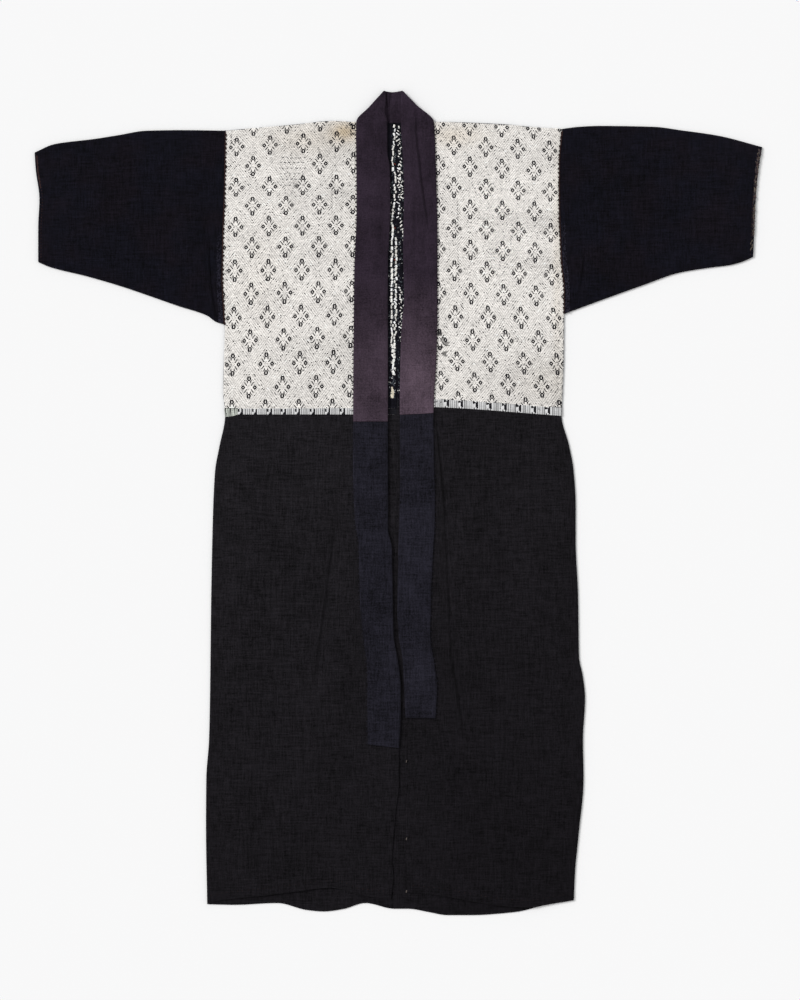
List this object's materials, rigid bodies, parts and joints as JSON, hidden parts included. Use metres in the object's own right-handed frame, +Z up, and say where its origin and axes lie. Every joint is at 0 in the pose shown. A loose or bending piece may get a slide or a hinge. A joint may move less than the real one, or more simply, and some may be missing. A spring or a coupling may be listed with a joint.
{
  "type": "noragi, a long east asian work coat with counted-stitch yokes, laid out flat",
  "caption": "Long open-fronted work coat laid flat, with tapered sleeves, white stitched yokes over the shoulders, plain lower panels and a folded collar strip.",
  "frame": {"origin": "the middle of the coat's outline seen from above, on the flat surface that it lies on", "axes": "+Y towards the neck, +X towards the wearer's left sleeve, which is at the right of the picture, +Z up off the surface, towards the viewer; the coat lies on its back"},
  "size_m": [1.1996, 1.3596, 0.0094],
  "materials": {
    "indigo_hemp": "matt, near-black indigo plain weave",
    "stitched_cotton": "matt white darning yarn on dark hemp, in rows of counted floats",
    "border_strip": "matt grey and white upright ribs with dark wedges",
    "brown_hemp": "matt, brown-black plain weave, slightly uneven",
    "plum_cotton": "matt plum-brown plain cotton, faded towards one lower end",
    "navy_cotton": "matt navy plain cotton"
  },
  "bodies": {
    "root": {"sleeve_right_front": "indigo_hemp", "sleeve_left_front": "indigo_hemp", "sleeve_right_back": "indigo_hemp", "sleeve_left_back": "indigo_hemp", "front_yoke_right": "stitched_cotton", "front_yoke_left": "stitched_cotton", "back_yoke_right": "stitched_cotton", "back_yoke_left": "stitched_cotton", "front_border_right": "border_strip", "front_border_left": "border_strip", "back_border_right": "border_strip", "back_border_left": "border_strip", "front_skirt_right": "brown_hemp", "front_skirt_left": "brown_hemp", "back_skirt_right": "brown_hemp", "back_skirt_left": "brown_hemp", "collar_cover_right": "plum_cotton", "collar_cover_left": "plum_cotton", "collar_cover_neck": "plum_cotton", "collar_band_right": "navy_cotton", "collar_band_left": "navy_cotton"}
  },
  "joints": []
}
